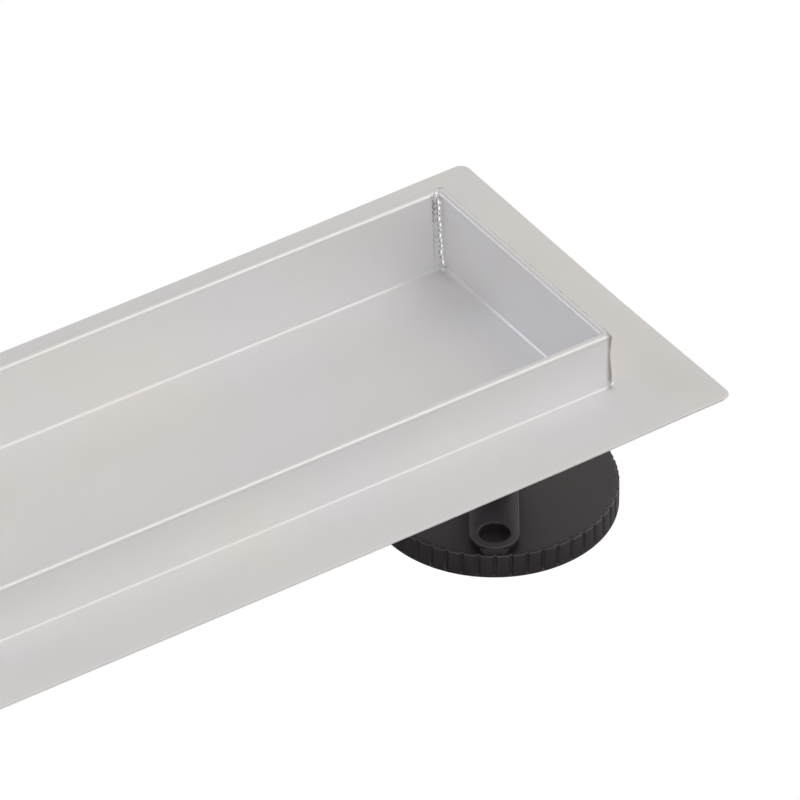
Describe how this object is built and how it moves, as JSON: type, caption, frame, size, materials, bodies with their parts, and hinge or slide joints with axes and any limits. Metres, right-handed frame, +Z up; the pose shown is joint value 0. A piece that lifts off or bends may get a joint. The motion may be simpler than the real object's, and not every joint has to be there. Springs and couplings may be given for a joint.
{
  "type": "linear shower drain",
  "caption": "Linear shower drain: folded stainless trough with upstand and tile flange, low trap with side outlet under its middle, on round screw-adjusted plastic feet.",
  "frame": {"origin": "on the floor, under the middle of the drain", "axes": "+X along the drain towards the end that the picture shows, +Y across it away from the camera, +Z up"},
  "size_m": [0.802, 0.15, 0.0917],
  "materials": {
    "stainless_sheet": "satin",
    "stainless_screw": "polished",
    "zinc_plated_steel": "bright",
    "foot_plastic": "moulded",
    "trap_plastic": "moulded",
    "dip_tube_plastic": "moulded",
    "gasket_rubber": "matte",
    "brass": "turned"
  },
  "bodies": {
    "drain": {"channel": "stainless_sheet", "clamp_ring": "stainless_sheet", "clamp_screws": "stainless_screw", "upper_gasket": "gasket_rubber", "lower_gasket": "gasket_rubber", "trap_cover": "trap_plastic", "boss_bushes": "brass", "trap_seal": "gasket_rubber", "trap_base": "trap_plastic", "dip_tube": "dip_tube_plastic", "dip_tube_ring": "gasket_rubber", "hair_strainer": "stainless_sheet", "stud_right": "zinc_plated_steel", "stud_left": "zinc_plated_steel"},
    "lock_right": {"washer_right": "zinc_plated_steel", "lock_nut_right": "zinc_plated_steel"},
    "foot_right": {"foot_right": "foot_plastic", "foot_bush_right": "brass"},
    "lock_left": {"washer_left": "zinc_plated_steel", "lock_nut_left": "zinc_plated_steel"},
    "foot_left": {"foot_left": "foot_plastic", "foot_bush_left": "brass"}
  },
  "joints": [
    {"name": "foot_right_height", "type": "slide", "parent": "drain", "child": "lock_right", "axis": [0, 0, 1], "range_m": [-0.0135, 0.0015]},
    {"name": "foot_right_turn", "type": "hinge", "parent": "lock_right", "child": "foot_right", "pos_m": [0.3605, 0, 0.032], "axis": [0, 0, 1], "range_deg": [-3240, 360]},
    {"name": "foot_left_height", "type": "slide", "parent": "drain", "child": "lock_left", "axis": [0, 0, 1], "range_m": [-0.0135, 0.0015]},
    {"name": "foot_left_turn", "type": "hinge", "parent": "lock_left", "child": "foot_left", "pos_m": [-0.3605, 0, 0.032], "axis": [0, 0, 1], "range_deg": [-3240, 360]}
  ],
  "couplings": [
    {"joint": "foot_right_height", "follows": "foot_right_turn", "m_per_rad": 0.00023873},
    {"joint": "foot_left_height", "follows": "foot_left_turn", "m_per_rad": 0.00023873}
  ]
}
